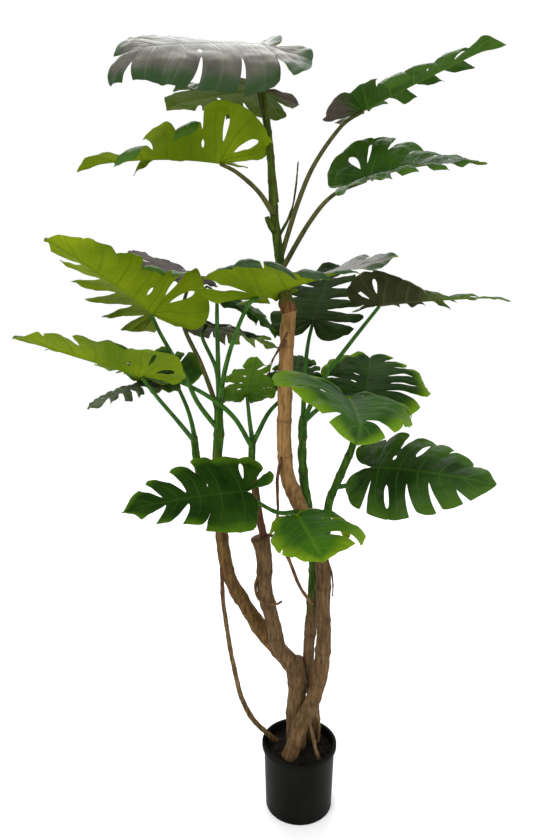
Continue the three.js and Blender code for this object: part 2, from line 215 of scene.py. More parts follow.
# undersides: a finish may turn to another colour along the blade, between two shares of its length
underFinishes = {
    "yellow": dict(dark=(0.09, 0.15, 0.002), light=(0.2, 0.265, 0.005), vein=(0.07, 0.125, 0.003)),
    "olive": dict(dark=(0.05, 0.085, 0.007), light=(0.09, 0.14, 0.012), vein=(0.12, 0.17, 0.02)),
    "olivePurple": dict(dark=(0.05, 0.09, 0.006), light=(0.09, 0.135, 0.01), vein=(0.12, 0.16, 0.02),
                        other=(0.1, 0.065, 0.055), turn=(-0.02, -0.12)),
    "leafy": dict(dark=(0.045, 0.11, 0.003), light=(0.1, 0.19, 0.008), vein=(0.05, 0.11, 0.005)),
    "brown": dict(dark=(0.018, 0.022, 0.007), light=(0.045, 0.048, 0.018), vein=(0.07, 0.075, 0.025)),
    "green": dict(dark=(0.014, 0.055, 0.003), light=(0.04, 0.115, 0.007), vein=(0.08, 0.16, 0.015)),
    "greenTip": dict(dark=(0.022, 0.026, 0.009), light=(0.055, 0.058, 0.022), vein=(0.1, 0.11, 0.04),
                     other=(0.1, 0.17, 0.008), turn=(0.3, 0.6)),
    "purpleBase": dict(dark=(0.025, 0.07, 0.006), light=(0.055, 0.125, 0.012), vein=(0.09, 0.17, 0.02),
                       other=(0.1, 0.07, 0.065), turn=(-0.02, -0.12)),
}


def leafSkin(side, name, finish):
    sheet = Sheet("leaf" + side.capitalize() + "_" + name)
    form = leafForm[side]
    colour = sheet.ramp(sheet.grain(*form["patches"]), zip(form["stops"], (finish["dark"], finish["light"])))
    if "other" in finish:
        turned = sheet.rescale(sheet.field("reach"), finish["turn"])
        colour = sheet.blend(turned, colour, (*finish["other"], 1))
    if "margin" in finish:
        spread = leafForm["marginSpread"]
        uneven = sheet.field("margin") + sheet.grain(*leafForm["marginNoise"]) * spread - spread / 2
        margin = sheet.rescale(uneven, finish.get("edge", (0.45, 1.1)), "SMOOTHSTEP") * finish["reach"]
        colour = sheet.blend(margin, colour, (*finish["margin"], 1))
    # painted shade: the colour darkens in bands along the pleats, where their folds would shade, and the same
    # field gives their bump
    pleatShade = sheet.field("fineVein")
    colour = sheet.blend(pleatShade * form["pleatShade"], colour, (*finish["dark"], 1))
    colour = sheet.blend(sheet.field("vein") * form["vein"], colour, (*finish["vein"], 1))
    rough = sheet.grain(*form["wear"]) * leafForm["wearSpread"] + finish.get("roughness", 0.5)
    relief = pleatShade * form["pleatRelief"] + sheet.grain(*leafForm["pores"]) * form["poreRelief"]
    return sheet.surface(colour, rough, finish.get("specular", 0.05), relief, *form["bump"])


# canes, stems and roots: dark, middle and light colours low down and high up, and the heights of the change
barkFinishes = {
    "cane": dict(low=((0.047, 0.028, 0.012), (0.115, 0.066, 0.028), (0.19, 0.118, 0.055)),
                 high=((0.15, 0.078, 0.027), (0.32, 0.175, 0.062), (0.46, 0.28, 0.11)),
                 change=(0.72, 0.95)),
    "leftCane": dict(low=((0.05, 0.028, 0.009), (0.128, 0.07, 0.021), (0.22, 0.125, 0.042)),
                     high=((0.008, 0.036, 0.002), (0.026, 0.092, 0.004), (0.08, 0.17, 0.015)),
                     change=(0.82, 0.95)),
    "stubShoot": dict(low=((0.05, 0.02, 0.01), (0.12, 0.048, 0.024), (0.2, 0.1, 0.05)),
                      high=((0.006, 0.03, 0.002), (0.02, 0.07, 0.004), (0.06, 0.13, 0.015)),
                      change=(0.84, 0.92)),
    "rightStem": dict(low=((0.065, 0.038, 0.018), (0.155, 0.088, 0.042), (0.24, 0.15, 0.075)),
                      high=((0.008, 0.035, 0.002), (0.026, 0.085, 0.005), (0.08, 0.16, 0.02)),
                      change=(0.5, 0.6)),
    "greenStem": dict(low=((0.006, 0.03, 0.002), (0.022, 0.08, 0.004), (0.07, 0.15, 0.015)),
                      high=((0.014, 0.026, 0.002), (0.045, 0.07, 0.005), (0.09, 0.12, 0.012)),
                      change=(1.2, 1.5)),
    "wrap": dict(low=((0.07, 0.026, 0.01), (0.18, 0.075, 0.025), (0.27, 0.15, 0.06)),
                 high=((0.02, 0.04, 0.004), (0.07, 0.09, 0.01), (0.13, 0.15, 0.03)),
                 change=(1.26, 1.3)),
    "rootSkin": dict(low=((0.03, 0.018, 0.007), (0.12, 0.075, 0.03), (0.23, 0.155, 0.065)),
                     high=((0.03, 0.012, 0.007), (0.13, 0.055, 0.03), (0.22, 0.11, 0.06)),
                     change=(0.5, 0.7)),
}
# noises by scale and detail, the colours over the bark with their shares, and the bump
barkForm = {
    "furrows": (140, 6, (1, 1, 0.16), 0.62), "stops": (0.33, 0.52, 0.72), "changeNoise": (26, 3),
    "changeSpread": 0.12, "shade": (18, 4), "shadeShare": 0.3, "shadeColour": (0.035, 0.024, 0.014, 1),
    "ringShare": 0.45, "ringColour": (0.05, 0.026, 0.012, 1), "grit": (420, 4), "bump": (0.7, 0.0022),
}


def barkSkin(name, finish):
    sheet = Sheet("skin_" + name)
    form = barkForm
    furrows = sheet.grain(*form["furrows"])
    low = sheet.ramp(furrows, zip(form["stops"], finish["low"]))
    high = sheet.ramp(furrows, zip(form["stops"], finish["high"]))
    height = sheet.add("SeparateXYZ", {}, {"Vector": sheet.add("TexCoord", out="Object")}, "Z")
    wander = form["changeSpread"]
    uneven = sheet.grain(*form["changeNoise"]) * wander - wander / 2
    turned = sheet.blend(sheet.rescale(height + uneven, finish["change"]), low, high)
    shaded = sheet.blend(sheet.grain(*form["shade"]) * form["shadeShare"], turned, form["shadeColour"])
    ringed = sheet.blend(sheet.field("ring") ** 3 * form["ringShare"], shaded, form["ringColour"])
    relief = furrows * 0.8 + sheet.grain(*form["grit"]) * 0.3
    return sheet.surface(ringed, furrows * 0.3 + 0.5, 0.06, relief, *form["bump"])


# leaf stalks: dark and light colours, radii at the stem and at the blade, and the end's drop below the blade
stalkForm = {
    "green": ((0.012, 0.055, 0.004), (0.045, 0.14, 0.012)),
    "brown": ((0.03, 0.035, 0.006), (0.1, 0.095, 0.022)),
    "streaks": (120, 4, (1, 1, 0.12)), "stops": (0.35, 0.7), "bump": (0.3, 0.0008),
    "radii": (0.006, 0.0038), "drop": 0.0022,
}


def stalkSkin(name):
    sheet = Sheet("stalk_" + name)
    streaks = sheet.grain(*stalkForm["streaks"])
    colour = sheet.ramp(streaks, zip(stalkForm["stops"], stalkForm[name]))
    return sheet.surface(colour, streaks * 0.15 + 0.35, 0.12, streaks, *stalkForm["bump"])


def potPlastic():
    sheet = Sheet("potPlastic")
    clouds = sheet.grain(14, 4)
    colour = sheet.ramp(clouds, [(0.3, potForm["dark"]), (0.75, potForm["light"])])
    streaks = sheet.grain(60, 3, (1, 1, 0.05))
    relief = sheet.grain(900, 2) * 0.5 + streaks * 0.3
    return sheet.surface(colour, clouds * 0.14 + 0.4, 0.03, relief, 0.25, 0.0006)


def soilFill():
    sheet = Sheet("soilFill")
    crumbs = sheet.grain(240, 6)
    colour = sheet.ramp(crumbs, [(0.35, soilForm["dark"]), (0.72, soilForm["light"])])
    return sheet.surface(colour, 0.95, 0.1, crumbs, 0.9, 0.003)


def floorPaint():
    sheet = Sheet("floorPaint")
    colour = sheet.blend(sheet.grain(3, 3) * 0.05, studio["floorColour"], studio["floorShade"])
    return sheet.surface(colour, 0.9, 0.1)


def finishPiece(name, mesh, materials, node=None):
    piece = addObject(name, mesh)
    for material in materials:
        mesh.materials.append(material)
    for face in mesh.polygons:
        face.use_smooth = True
    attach(piece, "root")
    if node:
        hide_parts(node)


def plainMesh(name, verts, faces):
    mesh = bpy.data.meshes.new(name)
    mesh.from_pydata(verts, [], faces)
    mesh.update()
    return mesh


# side faces between rings of points, and two end fans whose centres are the last two points
def tubeFaces(rows, around):
    faces = []
    for i in range(rows - 1):
        for k in range(around):
            n = (k + 1) % around
            faces.append((i * around + k, i * around + n, (i + 1) * around + n, (i + 1) * around + k))
    last = (rows - 1) * around
    bottom = rows * around
    for k in range(around):
        n = (k + 1) % around
        faces.append((bottom, n, k))
        faces.append((bottom + 1, last + k, last + n))
    return faces


# smooth line through points, evenly spaced
def smoothLine(points, spacing):
    knots = np.array(points, float)
    ends = np.vstack([2 * knots[0] - knots[1], knots, 2 * knots[-1] - knots[-2]])
    pieces = []
    share = np.linspace(0, 1, 30, endpoint=False)[:, None]
    for i in range(1, len(ends) - 2):
        a, b, c, d = ends[i - 1:i + 3]
        pieces.append(0.5 * (2 * b + (c - a) * share + (2 * a - 5 * b + 4 * c - d) * share ** 2
                             + (3 * b - a - 3 * c + d) * share ** 3))
    dense = np.vstack(pieces + [knots[-1:]])
    length = np.concatenate([[0], np.cumsum(np.linalg.norm(np.diff(dense, axis=0), axis=1))])
    count = max(4, int(length[-1] / spacing))
    wanted = np.linspace(0, length[-1], count + 1)
    line = np.stack([np.interp(wanted, length, dense[:, k]) for k in range(3)], axis=1)
    return line, length[-1]


def turningFrames(line):
    tangents = np.gradient(line, axis=0)
    tangents /= np.linalg.norm(tangents, axis=1)[:, None]
    side = np.cross(tangents[0], (0.3, 1, 0.1))
    sides = []
    for tangent in tangents:
        side = side - tangent * np.dot(side, tangent)
        side /= np.linalg.norm(side)
        sides.append(side)
    sides = np.array(sides)
    return sides, np.cross(tangents, sides)


# shared by all stems: how rings, knobs and furrows repeat, and the first seed of the small pieces
stemNoise = {"ringShift": 0.37, "ringWidth": 0.006, "seedStep": 7.1, "knobs": (0.8, 2.0, 3), "around": 3.2,
             "along": 9, "trimSeed": 40}


# a round stem whose radius swells and wrinkles as its form says
def stemMesh(name, path, radii, form, seed=0):
    line, length = smoothLine(path, form["spacing"])
    sides, ups = turningFrames(line)
    around = form["around"]
    angles = np.linspace(0, 2 * math.pi, around, endpoint=False)
    verts = []
    rings = []
    for i, centre in enumerate(line):
        share = i / (len(line) - 1)
        reach = share * length
        radius = radii[0] + (radii[1] - radii[0]) * share
        turn = (reach / form["ringEvery"] + seed * stemNoise["ringShift"]) % 1
        ring = math.exp(-(turn - 0.5) ** 2 / stemNoise["ringWidth"])
        rings += [ring] * around
        for angle in angles:
            away = sides[i] * math.cos(angle) + ups[i] * math.sin(angle)
            spot = Vector(centre + away * radius) * form["knobScale"]
            knob = noise.fractal(spot + Vector((seed * stemNoise["seedStep"], 0, 0)), *stemNoise["knobs"])
            turned = (math.cos(angle) * stemNoise["around"], math.sin(angle) * stemNoise["around"])
            furrow = noise.noise(Vector((*turned, reach * stemNoise["along"] + seed)))
            swell = form["knob"] * knob + form["furrow"] * furrow + form["ring"] * ring
            verts.append(centre + away * (radius + swell))
    verts += [line[0], line[-1]]
    mesh = plainMesh(name, [tuple(v) for v in verts], tubeFaces(len(line), around))
    layer = mesh.attributes.new("ring", "FLOAT", "POINT")
    layer.data.foreach_set("value", rings + [0.0, 0.0])
    return mesh


stemForms = {
    "cane": dict(spacing=0.004, around=40, ringEvery=0.085, ring=0.0016, knob=0.0024, furrow=0.0012,
                 knobScale=24),
    "green": dict(spacing=0.004, around=28, ringEvery=0.05, ring=0.001, knob=0.0008, furrow=0.0005,
                  knobScale=30),
    "root": dict(spacing=0.004, around=16, ringEvery=0.03, ring=0.0004, knob=0.0009, furrow=0.0003,
                 knobScale=50),
    "stalk": dict(spacing=0.006, around=16, ringEvery=9.0, ring=0.0, knob=0.0003, furrow=0.0002,
                  knobScale=20),
}

# node, skin, form, radii, centre line
stems = [
    ("main_cane", "cane", "cane", (0.0195, 0.0155), [
        (-0.028, -0.034, 0.154), (-0.014, -0.03, 0.19), (0.009, -0.022, 0.255), (0.038, -0.01, 0.32),
        (0.052, -0.008, 0.392), (0.056, -0.008, 0.46), (0.053, -0.008, 0.567), (0.048, -0.01, 0.67),
        (-0.005, -0.01, 0.809), (-0.033, -0.005, 0.875), (-0.043, 0, 0.95), (-0.041, 0, 1.032),
        (-0.039, 0, 1.162), (-0.033, 0, 1.262)]),
    ("trunk", "cane", "cane", (0.0245, 0.0225), [
        (-0.005, 0.012, 0.154), (-0.008, 0.014, 0.24), (-0.006, 0.015, 0.32), (-0.014, 0.012, 0.4)]),
    ("left_cane", "leftCane", "cane", (0.0215, 0.0095), [
        (-0.012, 0.02, 0.372), (-0.062, 0.022, 0.432), (-0.092, 0.02, 0.473), (-0.116, 0.018, 0.513),
        (-0.147, 0.014, 0.567), (-0.171, 0.008, 0.62), (-0.182, 0.004, 0.671), (-0.188, 0.002, 0.722),
        (-0.192, 0, 0.772), (-0.203, 0, 0.821), (-0.195, 0, 0.93), (-0.192, 0, 0.99), (-0.191, 0, 1.066)]),
    ("stub_cane", "cane", "cane", (0.0165, 0.0185), [
        (-0.016, -0.004, 0.378), (-0.052, -0.022, 0.45), (-0.066, -0.025, 0.513), (-0.079, -0.025, 0.567),
        (-0.088, -0.025, 0.62), (-0.087, -0.025, 0.671), (-0.095, -0.025, 0.738)]),
    ("stub_shoot", "stubShoot", "green", (0.009, 0.008), [
        (-0.085, -0.025, 0.715), (-0.095, -0.022, 0.765), (-0.103, -0.015, 0.81), (-0.116, -0.008, 0.905),
        (-0.116, 0, 0.95), (-0.114, 0.005, 0.968)]),
    ("right_stem", "rightStem", "cane", (0.016, 0.0095), [
        (0.042, 0.04, 0.154), (0.038, 0.04, 0.23), (0.034, 0.038, 0.293), (0.023, 0.034, 0.35),
        (0.024, 0.03, 0.432), (0.03, 0.026, 0.567), (0.032, 0.026, 0.671), (0.014, 0.028, 0.801),
        (0.004, 0.022, 0.875), (0, 0.015, 0.95), (0.002, 0.01, 1.02)]),
    ("right_shoot", "greenStem", "green", (0.0105, 0.0085), [
        (0.05, 0.028, 0.625), (0.06, 0.025, 0.72), (0.064, 0.01, 0.809), (0.079, 0, 0.858),
        (0.101, 0, 0.914), (0.114, 0, 0.95), (0.122, 0, 0.985)]),
    ("left_shoot", "greenStem", "green", (0.0105, 0.0085), [
        (-0.208, 0.004, 0.792), (-0.232, 0.015, 0.85), (-0.245, 0.022, 0.905), (-0.252, 0.028, 0.968)]),
    ("upper_stem", "greenStem", "green", (0.0115, 0.0058), [
        (-0.034, 0, 1.256), (-0.045, 0, 1.3), (-0.056, 0, 1.382), (-0.067, 0, 1.468), (-0.076, 0, 1.6),
        (-0.088, -0.005, 1.69), (-0.099, -0.01, 1.786)]),
    ("sheath", "greenStem", "root", (0.004, 0.001), [
        (-0.058, 0.008, 1.415), (-0.03, 0.025, 1.47), (-0.02, 0.03, 1.52), (-0.015, 0.032, 1.575)]),
    ("root_left_long", "rootSkin", "root", (0.0048, 0.0068), [
        (-0.19, -0.006, 0.652), (-0.186, -0.022, 0.57), (-0.178, -0.02, 0.5), (-0.17, -0.02, 0.44),
        (-0.157, -0.015, 0.365), (-0.144, -0.005, 0.3), (-0.117, 0.01, 0.232), (-0.079, 0.02, 0.182),
        (-0.056, 0.029, 0.154)]),
    ("root_centre", "rootSkin", "root", (0.0042, 0.0038), [
        (-0.078, -0.034, 0.75), (-0.055, -0.045, 0.738), (-0.03, -0.048, 0.69), (-0.005, -0.048, 0.625),
        (0.026, -0.03, 0.57)]),
    ("root_hanging", "rootSkin", "root", (0.0042, 0.003), [
        (-0.046, -0.01, 0.938), (-0.058, -0.03, 0.885), (-0.057, -0.032, 0.81), (-0.062, -0.034, 0.745)]),
    ("root_right", "rootSkin", "root", (0.0025, 0.002), [
        (0.056, -0.012, 0.698), (0.072, -0.028, 0.64), (0.074, -0.03, 0.592)]),
    ("root_foot_right", "rootSkin", "root", (0.0045, 0.004), [
        (0.018, -0.026, 0.272), (0.033, -0.045, 0.215), (0.04, -0.05, 0.185), (0.05, -0.05, 0.154)]),
]

# small pieces that the frame leaves out: name, skin, radii, centre line
trims = [
    ("tendril_ring", "rootSkin", (0.0036, 0.0026), [
        (-0.1, -0.026, 0.65), (-0.109, -0.036, 0.622), (-0.102, -0.049, 0.596), (-0.082, -0.05, 0.582),
        (-0.06, -0.044, 0.578), (-0.046, -0.04, 0.584)]),
    ("tendril_upper", "rootSkin", (0.0018, 0.0012), [
        (-0.036, -0.016, 1.215), (-0.058, -0.03, 1.178), (-0.086, -0.036, 1.128)]),
    ("tendril_lower", "rootSkin", (0.0016, 0.001), [
        (-0.04, -0.016, 1.196), (-0.066, -0.026, 1.16), (-0.08, -0.028, 1.118)]),
    ("root_stub", "rootSkin", (0.0075, 0.0055), [
        (0.03, 0.034, 0.255), (0.048, 0.03, 0.215), (0.05, 0.026, 0.18), (0.048, 0.024, 0.154)]),
    ("crown_wrap", "wrap", (0.018, 0.0115), [
        (-0.034, 0, 1.258), (-0.038, 0, 1.275), (-0.043, 0, 1.295), (-0.05, 0, 1.335)]),
    ("stub_collar", "cane", (0.0165, 0.0228), [
        (-0.0885, -0.025, 0.694), (-0.092, -0.025, 0.712), (-0.096, -0.025, 0.728),
        (-0.099, -0.025, 0.7385)]),
    ("stem_nub", "greenStem", (0.0085, 0.005), [
        (-0.064, -0.002, 1.43), (-0.073, -0.004, 1.44), (-0.079, -0.005, 1.45), (-0.082, -0.005, 1.46)]),
]

# shared blade form: lengths are shares of the blade's length, and places are shares of the half outline
bladeForm = {
    "outline": [(1, 0), (0.91, 0.115), (0.74, 0.255), (0.52, 0.375), (0.28, 0.445), (0.05, 0.44),
                (-0.13, 0.36), (-0.225, 0.23), (-0.21, 0.1), (-0.1, 0.03), (0, 0)],
    "outlineStep": 0.004, "halfWidth": 0.445,
    # how much of the half outline hangs on the midrib, how far that reaches, and how its columns sweep
    "ribShare": 0.6, "ribReach": 0.84, "sweep": 0.16, "sweepOut": 0.35,
    # rows run from the midrib to the margin, and shares across each lobe
    "firstRows": [0, 0.025, 0.06, 0.1], "rowsFrom": 0.14, "rows": 40,
    "shares": [0, 0.04, 0.1, 0.18, 0.27, 0.36, 0.43, 0.47, 0.5, 0.53, 0.57, 0.64, 0.73, 0.82, 0.9, 0.96, 1],
    "bendPower": 1.3, "bendSpread": 6, "sharp": 55,  # the last two in degrees
    "nodFrom": 0.62, "tailFrom": 0.12, "roundTip": 0.03, "hookedTip": 0.09, "ribSpan": (-0.4, 1.1, 301),
    "waves": 24, "pleats": 7, "crinkleScales": (7, 17), "sideVein": 0.035, "corrugation": 0.026,
    # in metres
    "crinkle": 0.007, "waveHeight": 0.004, "thickness": 0.0009, "ribWidth": 0.0024, "ribRidge": 0.003,
    "veinRidge": 0.0012, "groove": 0.0009,
}

# what parts two lobes: a hole from and to a share of the way out, and a slit from a share out to the margin
partingForms = {
    ".": {},
    "n": {"slit": 0.82, "width": 0.012},
    "s": {"slit": 0.52, "width": 0.017},
    "d": {"slit": 0.27, "width": 0.021},
    "w": {"slit": 0.2, "width": 0.037},
    "v": {"slit": 0.25, "width": 0.055},
    "o": {"hole": (0.2, 0.34), "holeWidth": 0.01},
    "O": {"hole": (0.36, 0.8), "holeWidth": 0.015},
    "b": {"hole": (0.2, 0.33), "holeWidth": 0.009, "slit": 0.5, "width": 0.016},
}
# how far one parting may differ from its form, as factors and a shift of the hole
partingSpread = {"slit": (0.9, 1.15), "slitEnd": 0.9, "width": (0.75, 1.15), "shift": (-0.03, 0.03),
                 "holeWidth": (0.8, 1.2)}

